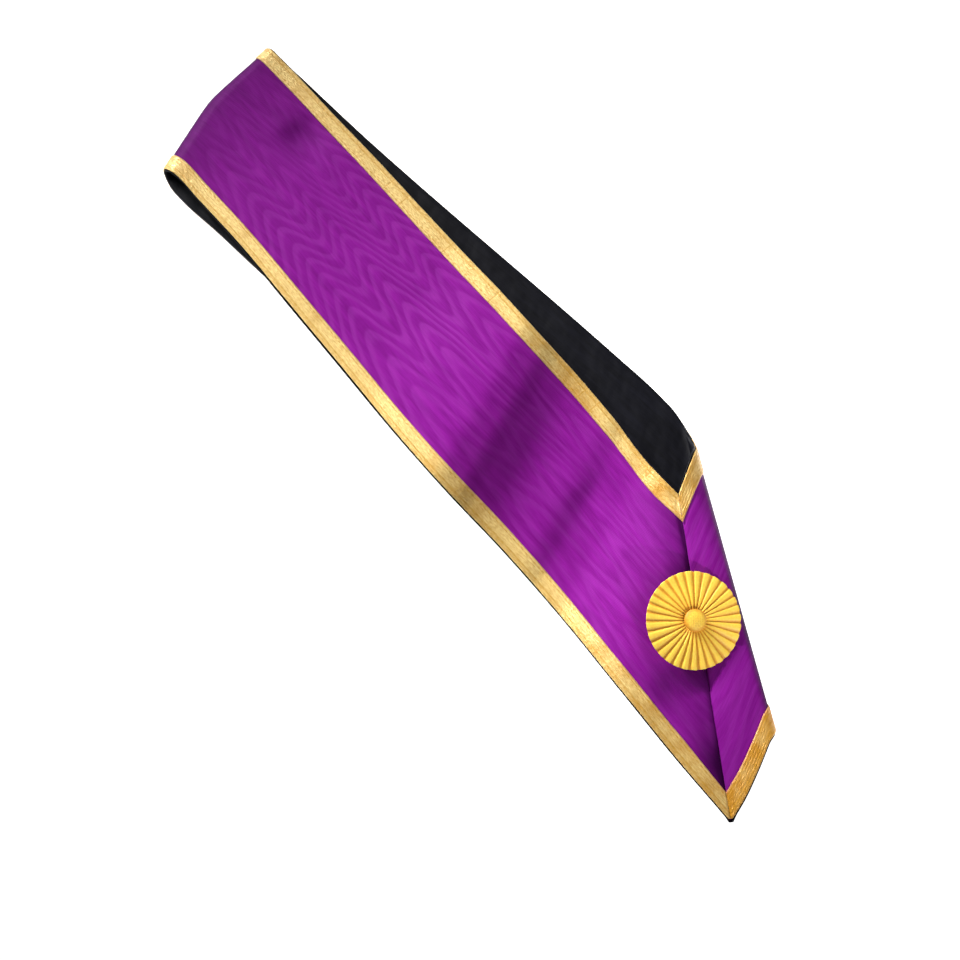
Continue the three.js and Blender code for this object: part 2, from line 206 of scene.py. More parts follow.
def distance_to_line(x, y, start, end):
    dx, dy = end[0] - start[0], end[1] - start[1]
    t = np.clip(((x - start[0]) * dx + (y - start[1]) * dy) / (dx * dx + dy * dy), 0, 1)
    return np.hypot(x - start[0] - t * dx, y - start[1] - t * dy)


def band(station, share):
    """Points of the band midway between lining and face; station and share broadcast."""
    station = np.clip(station, 0, LOOP_LENGTH)
    x, y, z = (OUTER[k](station) * (1 - share) + INNER[k](station) * share for k in range(3))
    half = 2 * share - 1
    tent = np.maximum(0, BOW_HEIGHT - np.sqrt(half * half + BOW_ROUNDING))
    x = x - np.maximum(0, BOW(station)) * tent
    upper = smooth_step((STATIONS[LAST_UPPER_SECTION] - station) / FOLD_FADE)
    fold = upper * fold_rise(x + FOLD_SLANT * (y - FOLD_MIDDLE))
    lean = fold / (FOLD_FOCUS[2] - z)
    x, y = x + (FOLD_FOCUS[0] - x) * lean, y + (FOLD_FOCUS[1] - y) * lean
    return np.stack([x, y, z + fold], axis=-1)


def unit(v):
    return v / np.linalg.norm(v, axis=-1, keepdims=True)


def to_seam(station):
    """Distance to the nearer end of the band, at the seam."""
    return np.minimum(station, LOOP_LENGTH - station)


def own_direction(station, share):
    """Square to the cloth, measured over 1 mm along it and a fiftieth of its width."""
    along = band(station + 0.5, share) - band(station - 0.5, share)
    across = band(station, share + 0.01) - band(station, share - 0.01)
    return unit(np.cross(across, along))


def face_direction(station, share):
    """From the lining to the face; both panels share it at the seam."""
    own = own_direction(station, share)
    both = own_direction(0.0 * station, share) + own_direction(0.0 * station + LOOP_LENGTH, share)
    weight = smooth_step(to_seam(station) / SEAM_BLEND_LENGTH)[..., None] * np.ones_like(own)
    return unit(unit(both) * (1 - weight) + own * weight)


def edge_lengths():
    """Distance along each edge, sampled finely. The mitre is slanted, so the inner edge starts
    further along than the outer one."""
    station = np.linspace(0, LOOP_LENGTH, 4001)
    outer = band(station, np.zeros_like(station))
    inner = band(station, np.ones_like(station))
    steps_outer = np.linalg.norm(np.diff(outer, axis=0), axis=1)
    steps_inner = np.linalg.norm(np.diff(inner, axis=0), axis=1)
    skew = abs(inner[0, 0] - outer[0, 0])
    along_outer = np.concatenate([[0], np.cumsum(steps_outer)])
    along_inner = skew + np.concatenate([[0], np.cumsum(steps_inner)])
    return station, along_outer, along_inner


SAMPLED, ALONG_OUTER, ALONG_INNER = edge_lengths()


def along_band(station, share):
    """Distance along the flat cloth, in mm from the outer end of the seam."""
    outer = np.interp(station, SAMPLED, ALONG_OUTER)
    inner = np.interp(station, SAMPLED, ALONG_INNER)
    return outer * (1 - share) + inner * share


def lace_share(station):
    """Width of either lace as a share of the band."""
    near = np.interp(station, *zip(*LACE_BY_THE_SEAM))
    far = np.interp(LOOP_LENGTH - station, *zip(*LACE_PAST_THE_SEAM))
    return np.minimum(near, far)


def seam_distance(points):
    """Distance from the line of the seam, seen from above."""
    return distance_to_line(points[..., 0], points[..., 1], SECTIONS[0][1], SECTIONS[0][2])


# Building pieces


def material_slot_of(obj, material):
    obj.data.materials.append(material)
    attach(obj, "root")


def new_object(name, bm, uv_values):
    """An object at the origin from a bmesh. uv_values holds one pair a vertex for each UV map."""
    mesh = bpy.data.meshes.new(name)
    for face in bm.faces:
        face.smooth = True
    bm.to_mesh(mesh)
    bm.free()
    obj = bpy.data.objects.new(name, mesh)
    bpy.context.scene.collection.objects.link(obj)
    loop_vertex = np.empty(len(mesh.loops), dtype=np.int32)
    mesh.loops.foreach_get("vertex_index", loop_vertex)
    for map_name, values in uv_values.items():
        layer = mesh.uv_layers.new(name=map_name)
        layer.data.foreach_set("uv", values[loop_vertex].astype(np.float32).ravel())
    return obj


def grid_indices(bm, columns, rows):
    """Column and row of each vertex of a fresh grid that is 2 wide and 2 long."""
    co = np.array([v.co[:2] for v in bm.verts])
    i = np.rint((co[:, 0] + 1) / 2 * (columns - 1)).astype(int)
    j = np.rint((co[:, 1] + 1) / 2 * (rows - 1)).astype(int)
    return i, j


def cloth_grid(stations, shares):
    """Station and share of every vertex of a grid: rows along the band, columns across."""
    station = np.repeat(stations[:, None], len(shares), axis=1)
    share = np.repeat(shares[None, :], len(stations), axis=0)
    return station, share


def cloth_piece(name, station, share, depth, uv_values, flip):
    """A grid of cloth laid at a depth from the middle of the band. Columns run across."""
    rows, columns = station.shape
    bm = bmesh.new()
    bmesh.ops.create_grid(bm, x_segments=columns - 1, y_segments=rows - 1, size=1)
    i, j = grid_indices(bm, columns, rows)
    points = band(station, share) + face_direction(station, share) * depth[..., None]
    points = (points + ORIGIN) * MM
    for v, a, b in zip(bm.verts, i, j):
        v.co = points[b, a]
    if flip:
        bmesh.ops.reverse_faces(bm, faces=bm.faces)
    maps = {key: value[j, i] for key, value in uv_values.items()}
    return new_object(name, bm, maps)


def add_thickness(obj, thickness):
    """Thickens the cloth behind its surface, which stays where it is."""
    solid = obj.modifiers.new("cloth thickness", "SOLIDIFY")
    solid.thickness = thickness * MM
    solid.offset = -1
    solid.use_even_offset = False
    solid.use_rim = True


def station_list(spacing):
    """Stations round the loop about this far apart, with a hair's width left at the seam."""
    count = int(round(LOOP_LENGTH / spacing))
    return np.linspace(SEAM_HALF_SLIT, LOOP_LENGTH - SEAM_HALF_SLIT, count + 1)


def cloth_map(station, share):
    """UV in units of 100 mm: along the band, then across it."""
    return np.stack([along_band(station, share) / 100, share * BAND_WIDTH / 100], axis=-1)


# Where the watered figure turns across the band: distance from the inner lace in mm, and how
# many of its lines it has moved along by there.
FIGURE_TURNS = [(0, 1.3), (8.8, 0), (20, 1.6), (37.5, -2.0), (50.7, -0.3), (63.7, -1.9), (79, -0.1)]
# Distance between the figure's lines in mm, by distance from the neck fold.
FIGURE_SPACING = [(0, 30), (60, 18), (95, 14), (170, 14), (205, 24), (250, 40), (420, 60)]
# How clearly the figure shows, by distance from the neck fold.
FIGURE_STRENGTH = [(0, 0.25), (50, 0.5), (100, 0.9), (200, 1), (250, 0.75), (330, 0.6), (420, 0.6)]
# How the lines wander, as a share of the distance between them, in patches this long and wide in
# mm, and the seed of each.
FIGURE_WANDER = [(0.3, 26, 14, 1.0), (0.08, 7, 4.5, 4.0)]
# How clearly the figure shows also varies in patches: mean, change, length, width and seed.
FIGURE_PATCHES = (0.8, 0.25, 30, 20, 2.0)
# The lines are counted over this length from the neck fold, in this step, both in mm.
FIGURE_LENGTH = 600
FIGURE_STEP = 0.5


def soft_noise(x, y, seed):
    """Smooth repeatable noise between about -1 and 1, from a few waves that cross at uneven
    angles."""
    total = np.zeros_like(x)
    for k in range(5):
        turn = seed * 1.7 + k * 2.399
        wave = 1.0 + 0.37 * k
        phase = seed * 3.1 + k * 1.3
        total = total + np.sin(wave * (x * math.cos(turn) + y * math.sin(turn)) + phase)
    return total / 3.2


def moire_map(station, share):
    """UV of the watered figure: count of its lines, and how clearly it shows."""
    along = along_band(station, share)
    across = share * BAND_WIDTH
    from_neck = np.abs(along - along_band(STATIONS[NECK_SECTION], 0.5))
    from_inner_lace = (1 - LACE_SHARE) * BAND_WIDTH - across
    places = np.arange(0, FIGURE_LENGTH + FIGURE_STEP, FIGURE_STEP)
    spacing = np.interp(places, *zip(*FIGURE_SPACING))
    count = np.concatenate([[0], np.cumsum(FIGURE_STEP / spacing[:-1])])
    turn_places, turn_counts = zip(*FIGURE_TURNS)
    turns = smooth_column(turn_counts, True, turn_places)
    lines = np.interp(from_neck, places, count) - turns(np.clip(from_inner_lace, 0, turn_places[-1]))
    for change, long, wide, seed in FIGURE_WANDER:
        lines = lines + change * soft_noise(along / long, across / wide, seed)
    mean, change, long, wide, seed = FIGURE_PATCHES
    strength = np.interp(from_neck, *zip(*FIGURE_STRENGTH))
    strength = strength * (mean + change * soft_noise(along / long, across / wide, seed))
    return np.stack([lines, np.clip(strength, 0, 1)], axis=-1)


# Painted shade on the silk towards the neck fold, and beside the mitre on the upper arm: how
# much, and how far that reaches in mm.
SHADE_BY_THE_NECK = [(0.18, 45), (0.35, 9)]
SHADE_BY_THE_MITRE = [(0.5, 3), (0.7, 15)]
# By share across the band: how much of the painted shade by the mitre shows on the upper arm,
# and how much painted shade the panel past the mitre has.
MITRE_ACROSS = [(0.05, 0.8), (0.3, 0.5), (0.8, 0.7), (1, 0.75)]
PANEL_ACROSS = [(0.1, 0.3), (0.45, 0.0)]
# Painted shadow of the rosette on the silk round its rim.
SHADOW_ROUND_THE_ROSETTE = [(0.3, 7)]
# Painted shade where the silk stands on edge in a fold. At this upward slant about a third is left.
SHADE_ON_EDGE = 0.85
SLANT_OF_AN_EDGE = 0.72
# How far along the band, in mm from the seam, the painted shade by the mitre and the rosette goes.
SHADE_STRETCH = 130
# Patches of painted shade on the silk: the middle, the half size along and across the band, and
# how dark.
SHADE_PATCHES = [
    ("near_the_neck_fold", (-486, 72), (15, 14), 0.3),
    ("in_the_valley", (-237, 44), (15, 50), 0.34),
    ("past_the_valley", (-189, 46), (13, 32), 0.26),
    ("below_the_rosette", (-78, 21), (15, 9), 0.42),
    ("by_the_point", (-28, 16), (14, 8), 0.45),
]


def painted_shade_map(station, share):
    """UV whose first value is painted shade on the silk: towards the neck fold, where it turns over
    at a fold, beside the mitre, in soft patches, and round the rosette as its shadow."""
    points = band(station, share)
    from_neck = along_band(station, share) - along_band(STATIONS[NECK_SECTION], share)
    slant = face_direction(station, share)[..., 2]
    painted_shade = fading(from_neck, SHADE_BY_THE_NECK)
    painted_shade = painted_shade + SHADE_ON_EDGE * np.exp(-((slant / SLANT_OF_AN_EDGE) ** 4))

    patch_shade = np.zeros(station.shape)
    for name, (x, y), (half_along, half_across), strength in SHADE_PATCHES:
        across = points[..., 1] - y
        along = points[..., 0] - x + FOLD_SLANT * across
        from_middle = (along / half_along) ** 2 + (across / half_across) ** 2
        patch_shade = patch_shade + strength * np.exp(-from_middle)
    upper = station < LOOP_LENGTH / 2
    painted_shade = painted_shade + np.where(upper, patch_shade, 0.0)

    mitre_shade = np.interp(share, *zip(*MITRE_ACROSS)) * fading(seam_distance(points), SHADE_BY_THE_MITRE)
    panel = np.interp(share, *zip(*PANEL_ACROSS))
    from_rosette = np.hypot(points[..., 0] - ROSETTE_CENTRE[0], points[..., 1] - ROSETTE_CENTRE[1])
    rosette_shadow = fading(from_rosette - ROSETTE_RADIUS, SHADOW_ROUND_THE_ROSETTE)
    near_v = to_seam(station) < SHADE_STRETCH
    painted_shade = painted_shade + np.where(near_v, np.where(upper, mitre_shade, panel) + rosette_shadow, 0.0)
    return np.stack([np.clip(painted_shade, 0, 1), np.zeros_like(painted_shade)], axis=-1)


# Materials


def linear(hex_colour):
    """sRGB hex to linear colour."""
    out = []
    for k in (1, 3, 5):
        c = int(hex_colour[k : k + 2], 16) / 255
        out.append(c / 12.92 if c <= 0.04045 else ((c + 0.055) / 1.055) ** 2.4)
    return (*out, 1.0)


def add_node(material, kind, settings=None, inputs=None):
    """Adds a node. settings are its properties; inputs are values, or (node, output) links."""
    tree = material.node_tree
    node = tree.nodes.new(kind)
    for key, value in (settings or {}).items():
        setattr(node, key, value)
    for key, value in (inputs or {}).items():
        if isinstance(value, tuple) and value and isinstance(value[0], bpy.types.Node):
            tree.links.new(value[0].outputs[value[1]], node.inputs[key])
        else:
            node.inputs[key].default_value = value
    return node


def new_material(name, base, roughness, metallic=0.0, **sockets):
    """A material with one Principled shader, whose uniform values sit on its own sockets."""
    material = bpy.data.materials.new(name)
    material.use_nodes = True
    material.node_tree.nodes.clear()
    inputs = {"Base Color": linear(base), "Roughness": roughness, "Metallic": metallic}
    inputs.update(sockets)
    shader = add_node(material, "ShaderNodeBsdfPrincipled", inputs=inputs)
    add_node(material, "ShaderNodeOutputMaterial", inputs={"Surface": (shader, 0)})
    return material, shader


def feed(material, shader, socket, node, output=0):
    material.node_tree.links.new(node.outputs[output], shader.inputs[socket])


# Lines of the watered figure: offset and half width, both in the distance from one line to the
# next, then colour and strength.
WATERED_LINES = [
    (0.32, 0.34, "#650C6A", 0.17),
    (0.0, 0.36, "#AE46B8", 0.21),
    (0.19, 0.14, "#AE46B8", 0.12),
]


def threads_of(material, dark, light):
    """Warp threads along the band: fine streaks 0.8 mm apart among broader ones of 4 mm."""
    cloth = add_node(material, "ShaderNodeUVMap", {"uv_map": "cloth"})
    fine = add_node(
        material, "ShaderNodeMapping", inputs={"Vector": (cloth, 0), "Scale": (9, 125, 1)}
    )
    broad = add_node(
        material, "ShaderNodeMapping", inputs={"Vector": (cloth, 0), "Scale": (2.4, 26, 1)}
    )
    fine_streaks = add_node(
        material,
        "ShaderNodeTexNoise",
        inputs={"Vector": (fine, 0), "Scale": 1.0, "Detail": 3.0, "Roughness": 0.6},
    )
    broad_streaks = add_node(
        material,
        "ShaderNodeTexNoise",
        inputs={"Vector": (broad, 0), "Scale": 1.0, "Detail": 2.0, "Distortion": 0.6},
    )
    both = add_node(
        material, "ShaderNodeMath", {"operation": "ADD"}, {0: (fine_streaks, 0), 1: (broad_streaks, 0)}
    )
    share = add_node(
        material,
        "ShaderNodeMapRange",
        inputs={"Value": (both, 0), "From Min": 0.7, "From Max": 1.3, "To Min": 0.0, "To Max": 1.0},
    )
    return add_node(
        material,
        "ShaderNodeMix",
        {"data_type": "RGBA"},
        {0: (share, 0), 6: linear(dark), 7: linear(light)},
    )


def watered_silk():
    """Moire: ribbed silk pressed so that its ribs flatten in waves and catch light as lines."""
    sheen = {"Specular IOR Level": 0.03, "Sheen Weight": 0.025, "Sheen Tint": linear("#A838B8")}
    material, shader = new_material("watered ribbed silk, purple", "#7E1587", 0.5, **sheen)
    figure = add_node(material, "ShaderNodeUVMap", {"uv_map": "figure"})
    parts = add_node(material, "ShaderNodeSeparateXYZ", inputs={"Vector": (figure, 0)})
    colour = threads_of(material, "#76127D", "#8C1D94")
    for offset, half_width, shade, strength in WATERED_LINES:
        moved = add_node(
            material, "ShaderNodeMath", {"operation": "ADD"}, {0: (parts, 0), 1: offset}
        )
        wave = add_node(material, "ShaderNodeMath", {"operation": "PINGPONG"}, {0: (moved, 0), 1: 0.5})
        line = add_node(
            material,
            "ShaderNodeMapRange",
            {"interpolation_type": "SMOOTHSTEP"},
            {
                "Value": (wave, 0),
                "From Min": 0.0,
                "From Max": half_width,
                "To Min": strength,
                "To Max": 0.0,
            },
        )
        shown = add_node(
            material, "ShaderNodeMath", {"operation": "MULTIPLY"}, {0: (line, 0), 1: (parts, 1)}
        )
        colour = add_node(
            material,
            "ShaderNodeMix",
            {"data_type": "RGBA"},
            {0: (shown, 0), 6: (colour, 2), 7: linear(shade)},
        )
    # Painted shade: the colour goes towards deep purple where the silk's painted shade is strong.
    dulling = add_node(material, "ShaderNodeUVMap", {"uv_map": "dulling"})
    painted_shade = add_node(material, "ShaderNodeSeparateXYZ", inputs={"Vector": (dulling, 0)})
    colour = add_node(
        material,
        "ShaderNodeMix",
        {"data_type": "RGBA"},
        {0: (painted_shade, 0), 6: (colour, 2), 7: linear("#34043A")},
    )
    feed(material, shader, "Base Color", colour, 2)
    cloth = add_node(material, "ShaderNodeUVMap", {"uv_map": "cloth"})
    # Weft ribs run across the band. Real ones are about 0.4 mm apart; 1.1 mm shows here.
    ribs = add_node(
        material,
        "ShaderNodeTexWave",
        {"wave_type": "BANDS", "bands_direction": "X", "wave_profile": "SIN"},
        {"Vector": (cloth, 0), "Scale": 28.0, "Distortion": 0.6, "Detail": 1.0},
    )
    bump = add_node(
        material,
        "ShaderNodeBump",
        inputs={"Height": (ribs, 0), "Strength": 0.25, "Distance": 0.00012},
    )
    feed(material, shader, "Normal", bump)
    return material


def black_satin():
    """Satin: long floats of thread on the surface, so a soft bluish sheen on near black."""
    material, shader = new_material(
        "woven satin, black", "#0C0C10", 0.5, **{"Specular IOR Level": 0.15}
    )
    colour = threads_of(material, "#09090E", "#14141C")
    feed(material, shader, "Base Color", colour, 2)
    # Soft unevenness about 20 mm across, where the lining is not quite flat.
    cloth = add_node(material, "ShaderNodeUVMap", {"uv_map": "cloth"})
    uneven = add_node(
        material, "ShaderNodeTexNoise", inputs={"Vector": (cloth, 0), "Scale": 5.0, "Detail": 2.0}
    )
    bump = add_node(
        material, "ShaderNodeBump", inputs={"Height": (uneven, 0), "Strength": 0.35, "Distance": 0.004}
    )
    feed(material, shader, "Normal", bump)
    return material


# Rows of stitches on a lace: distance from the silk and half width, as shares of the lace's
# width, how strongly a stitch shows, and how strongly the gap after it shows. The last is a broad
# and fainter row near the free edge.
STITCH_ROWS = [
    (0.18, 0.035, 1.0, 0.35),
    (0.74, 0.045, 1.0, 0.8),
    (0.87, 0.1, 0.5, 0.38),
]


def gold_lace():
    """Gilt-thread braid: thread wrapped in fine metal strip, woven, so it sparkles unevenly."""
    material, shader = new_material("woven gilt braid", "#D8B25A", 0.45, 0.2)
    cloth = add_node(material, "ShaderNodeUVMap", {"uv_map": "cloth"})
    lace = add_node(material, "ShaderNodeUVMap", {"uv_map": "lace"})
    wear = add_node(material, "ShaderNodeUVMap", {"uv_map": "wear"})
    on_cloth = add_node(material, "ShaderNodeSeparateXYZ", inputs={"Vector": (cloth, 0)})
    on_lace = add_node(material, "ShaderNodeSeparateXYZ", inputs={"Vector": (lace, 0)})
    on_wear_and_shade = add_node(material, "ShaderNodeSeparateXYZ", inputs={"Vector": (wear, 0)})
    # Strands run along the braid, about 2.5 mm long before they dip and 0.6 mm wide.
    strands = add_node(
        material, "ShaderNodeMapping", inputs={"Vector": (cloth, 0), "Scale": (40, 165, 1)}
    )
    weave = add_node(
        material,
        "ShaderNodeTexVoronoi",
        {"feature": "F1"},
        {"Vector": (strands, 0), "Scale": 1.0, "Randomness": 0.8},
    )
    grain = add_node(
        material,
        "ShaderNodeTexNoise",
        inputs={"Vector": (strands, 0), "Scale": 0.8, "Detail": 4.0, "Roughness": 0.65},
    )
    glint = add_node(
        material,
        "ShaderNodeMapRange",
        inputs={"Value": (grain, 0), "From Min": 0.24, "From Max": 0.62, "To Min": 0.0, "To Max": 1.0},
    )
    gold = add_node(
        material,
        "ShaderNodeMix",
        {"data_type": "RGBA"},
        {0: (glint, 0), 6: linear("#CF9A40"), 7: linear("#F9DC90")},
    )
    blotches = add_node(
        material, "ShaderNodeTexNoise", inputs={"Vector": (cloth, 0), "Scale": 7.0, "Detail": 3.0}
    )
    worn_and_shaded = add_node(
        material,
        "ShaderNodeMath",
        {"operation": "MULTIPLY_ADD", "use_clamp": True},
        {0: (blotches, 0), 1: 2.2, 2: (on_wear_and_shade, 0)},
    )
    # Darker gold in worn blotches, with more of it in the valley as painted shade.
    patched = add_node(
        material,
        "ShaderNodeMix",
        {"data_type": "RGBA"},
        {0: (worn_and_shaded, 0), 6: (gold, 2), 7: linear("#C2861E")},
    )
    # Rows of stitches run along the braid, each stitch about 2 mm long and 1.6 mm from the next.
    count = add_node(
        material, "ShaderNodeMath", {"operation": "MULTIPLY"}, {0: (on_cloth, 0), 1: 28.0}
    )
    turn = add_node(material, "ShaderNodeMath", {"operation": "FRACT"}, {0: (count, 0)})
    gap = add_node(material, "ShaderNodeMath", {"operation": "GREATER_THAN"}, {0: (turn, 0), 1: 0.55})
    # A join across the braid is a line 0.8 mm wide.
    marks = add_node(
        material, "ShaderNodeMath", {"operation": "COMPARE"}, {0: (on_lace, 1), 1: 0.0, 2: 0.04}
    )
    for place, half_width, strength, gap_strength in STITCH_ROWS:
        on_row = add_node(
            material,
            "ShaderNodeMath",
            {"operation": "COMPARE"},
            {0: (on_lace, 0), 1: place, 2: half_width},
        )
        shown = add_node(
            material,
            "ShaderNodeMath",
            {"operation": "MULTIPLY_ADD"},
            {0: (gap, 0), 1: gap_strength - strength, 2: strength},
        )
        stitch = add_node(
            material, "ShaderNodeMath", {"operation": "MULTIPLY"}, {0: (on_row, 0), 1: (shown, 0)}
        )
        marks = add_node(
            material, "ShaderNodeMath", {"operation": "MAXIMUM"}, {0: (marks, 0), 1: (stitch, 0)}
        )
    faint = add_node(material, "ShaderNodeMath", {"operation": "MULTIPLY"}, {0: (marks, 0), 1: 0.62})
    marked = add_node(
        material,
        "ShaderNodeMix",
        {"data_type": "RGBA"},
        {0: (faint, 0), 6: (patched, 2), 7: linear("#CC9220")},
    )
    # Purple silk shows through at the edge sewn over it.
    by_silk = add_node(
        material,
        "ShaderNodeMapRange",
        {"interpolation_type": "SMOOTHSTEP"},
        {"Value": (on_lace, 0), "From Min": 0.0, "From Max": 0.12, "To Min": 0.5, "To Max": 0.0},
    )
    edged = add_node(
        material,
        "ShaderNodeMix",
        {"data_type": "RGBA"},
        {0: (by_silk, 0), 6: (marked, 2), 7: linear("#D49A78")},
    )
    feed(material, shader, "Base Color", edged, 2)
    bump = add_node(
        material, "ShaderNodeBump", inputs={"Height": (weave, 0), "Strength": 0.7, "Distance": 0.0004}
    )
    feed(material, shader, "Normal", bump)
    return material


def yellow_satin():
    """Satin ribbon in warm yellow, with painted shade in the creases between the pleats."""
    material, shader = new_material(
        "pleated satin ribbon, yellow", "#F2BC30", 0.5, **{"Specular IOR Level": 0.3}
    )
    # The pleat UV carries painted shade: deeper orange at 0, as in a crease, full yellow from 0.7.
    pleat = add_node(material, "ShaderNodeUVMap", {"uv_map": "pleat"})
    parts = add_node(material, "ShaderNodeSeparateXYZ", inputs={"Vector": (pleat, 0)})
    raised = add_node(
        material,
        "ShaderNodeMapRange",
        {"interpolation_type": "SMOOTHSTEP"},
        {"Value": (parts, 0), "From Min": 0.0, "From Max": 0.7, "To Min": 0.0, "To Max": 1.0},
    )
    colour = add_node(
        material,
        "ShaderNodeMix",
        {"data_type": "RGBA"},
        {0: (raised, 0), 6: linear("#D8922A"), 7: linear("#FFD34E")},
    )
    coords = add_node(material, "ShaderNodeTexCoord")
    # Threads about 1 mm apart, so that they show.
    grain = add_node(
        material,
        "ShaderNodeTexNoise",
        inputs={"Vector": (coords, 3), "Scale": 900.0, "Detail": 2.0},
    )
    flecked = add_node(
        material,
        "ShaderNodeMix",
        {"data_type": "RGBA", "blend_type": "SOFT_LIGHT"},
        {0: 0.55, 6: (colour, 2), 7: (grain, 0)},
    )
    feed(material, shader, "Base Color", flecked, 2)
    bump = add_node(
        material, "ShaderNodeBump", inputs={"Height": (grain, 0), "Strength": 0.3, "Distance": 0.0002}
    )
    feed(material, shader, "Normal", bump)
    return material


# The cloth pieces

silk = watered_silk()
satin = black_satin()
braid = gold_lace()
ribbon_yellow = yellow_satin()

# How the panels turn down beside the mitre, in mm: how deep the soft dip is, by share across the
# band, how far it and the sharp dip reach, and how far along the band either goes.
SOFT_DIP_ACROSS = [(0, 1.3), (0.16, 1.5), (1, 1.5)]
SOFT_DIP_REACH = 7.5
SHARP_DIP_REACH = 1.4
DIP_STRETCH = 60
FACE_SHARP_DIP = 0.9
LACE_SHARP_DIP = 0.4

# At the point of the V the lining and the outer lace are cut back, by these shares of the band.
BLUNT_LENGTH = 2
LINING_CUT = 0.009
LACE_CUT = 0.008

# Of each cloth's grid: the distance between its rows in mm, and how many columns lie across it.
FACE_GRID = (1.8, 53)
LINING_GRID = (1.6, 37)
LACE_GRID = (1.5, 31)
# The face stops this share of the band short of either edge.
FACE_MARGIN = 0.004
# The lining has three more columns along either edge, where it turns up. They go from its rim
# inwards: share past the band's edge, and rise in mm.
LINING_EDGE = [(0.007, 1.9), (0.006, 1.2), (0.003, 0.3)]
# Past the outer edge the lining shows as a tongue at the point, and a little wider in a strip
# on the half of the upper arm towards the neck: share of the band, place and reach in mm.
TONGUE_SHARE = 0.005
TONGUE_REACH = 3.4
STRIP_SHARE = 0.005
STRIP_PLACE = 330
STRIP_REACH = 90
# The lining stays as it is until a crease is deeper than this, in mm, and then follows it.
CREASE_FREE_DEPTH = 0.8

# How much of the darker gold shows, where lower is brighter: on the upper arm by distance from the
# seam in mm, and past the seam by share across the band. More shows in the valley, as painted
# shade; the valley lies at this place along the folds: how much, and how far that reaches in mm.
UPPER_GOLD_DARKENING = [(0, -0.7), (60, -0.8), (120, -1.15)]
PANEL_GOLD_DARKENING = [(0, -0.2), (1, -0.6)]
VALLEY_PLACE = -240
VALLEY_SHADE = [(0.4, 22)]
# Distance given, in units of 10 mm, where a lace has no join.
NO_JOIN = 9.0

# Raised cords along a lace, and how its edges round off: drop in mm, over this share of it.
LACE_CORDS = 6
CORD_HEIGHT = 0.14
LACE_EDGE = [(0.3, 0.05)]


def seam_dip(station, share, sharp):
    """Both panels turn down softly beside the mitre, and then sharply into its seam."""
    distance = seam_distance(band(station, share))
    soft = np.interp(share, *zip(*SOFT_DIP_ACROSS))
    dip = fading(distance, [(soft, SOFT_DIP_REACH), (sharp, SHARP_DIP_REACH)])
    return np.where(to_seam(station) < DIP_STRETCH, dip, 0.0)


def crease_depth(station, share):
    """How deep the soft creases are pressed here. There are none on the lower arm."""
    points = band(station, share)
    total = np.zeros(station.shape)
    for name, (x, y), depth, steep, long, half_width in CREASES:
        u = points[..., 0] - x
        side = np.where(u < 0, smooth_step(1 + u / steep), smooth_step(1 - u / long))
        total = total + depth * side * np.exp(-(((points[..., 1] - y) / half_width) ** 2))
    return np.where(station < STATIONS[LAST_UPPER_SECTION], total, 0.0)


def blunt_point(station):
    """1 at the point of the V, falling to 0 within the length that is cut back."""
    return np.clip(1 - to_seam(station) / BLUNT_LENGTH, 0, 1) ** 2


def make_face():
    spacing, columns = FACE_GRID
    shares = np.linspace(FACE_MARGIN, 1 - FACE_MARGIN, columns)
    station, share = cloth_grid(station_list(spacing), shares)
    depth = FACE_TOP - seam_dip(station, share, FACE_SHARP_DIP) - crease_depth(station, share)
    maps = {
        "cloth": cloth_map(station, share),
        "figure": moire_map(station, share),
        # Painted shade on the silk, as a UV.
        "dulling": painted_shade_map(station, share),
    }
    obj = cloth_piece("moire_ribbon", station, share, depth, maps, False)
    add_thickness(obj, FACE_THICKNESS)
    material_slot_of(obj, silk)
    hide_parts("moire_ribbon_face")
    return obj


def make_lining():
    """The lining turns up at both edges, and so shows there as a thin dark line. Its end makes a
    small round tongue past the point of the V."""
    spacing, columns = LINING_GRID
    edge = np.array([past for past, rise in LINING_EDGE])
    shares = np.concatenate([-edge, np.linspace(0, 1, columns), 1 + edge[::-1]])
    station, share = cloth_grid(station_list(spacing), shares)
    pressed = np.clip(crease_depth(station, share) - CREASE_FREE_DEPTH, 0, None)
    depth = LINING_TOP - seam_dip(station, share, 0.0) - pressed
    for k, (past, rise) in enumerate(LINING_EDGE):
        depth[:, k] += rise
        depth[:, -1 - k] += rise
    past_the_edge = np.clip(-share / edge[0], 0, 1)
    tongue = TONGUE_SHARE * np.exp(-((to_seam(station) / TONGUE_REACH) ** 4))
    strip = STRIP_SHARE * np.exp(-(((station - STRIP_PLACE) / STRIP_REACH) ** 4))
    share = share - past_the_edge * (tongue + strip - LINING_CUT * blunt_point(station))
    maps = {"cloth": cloth_map(station, share)}
    obj = cloth_piece("satin_lining", station, share, depth, maps, True)
    add_thickness(obj, LINING_THICKNESS)
    material_slot_of(obj, satin)
    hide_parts("black_satin_lining")
    return obj


def lace_maps(station, share, from_silk, joins):
    """UV maps of a lace: its place on the cloth; distance from the silk as a share of its width
    with distance to the nearest join in units of 10 mm; and darker gold from wear and painted shade."""
    along = along_band(station, share)
    to_join = np.full(along.shape, NO_JOIN)
    for join in joins:
        to_join = np.where(abs(along - join) < abs(10 * to_join), (along - join) / 10, to_join)
    points = band(station, share)
    from_valley = points[..., 0] - VALLEY_PLACE + FOLD_SLANT * (points[..., 1] - FOLD_MIDDLE)
    upper = np.interp(to_seam(station), *zip(*UPPER_GOLD_DARKENING)) + fading(from_valley, VALLEY_SHADE)
    panel = np.interp(share, *zip(*PANEL_GOLD_DARKENING))
    worn_and_shaded = np.where(station > LOOP_LENGTH / 2, panel, upper)
    return {
        "cloth": cloth_map(station, share),
        "lace": np.stack([from_silk, to_join], axis=-1),
        "wear": np.stack([worn_and_shaded, np.zeros_like(worn_and_shaded)], axis=-1),
    }


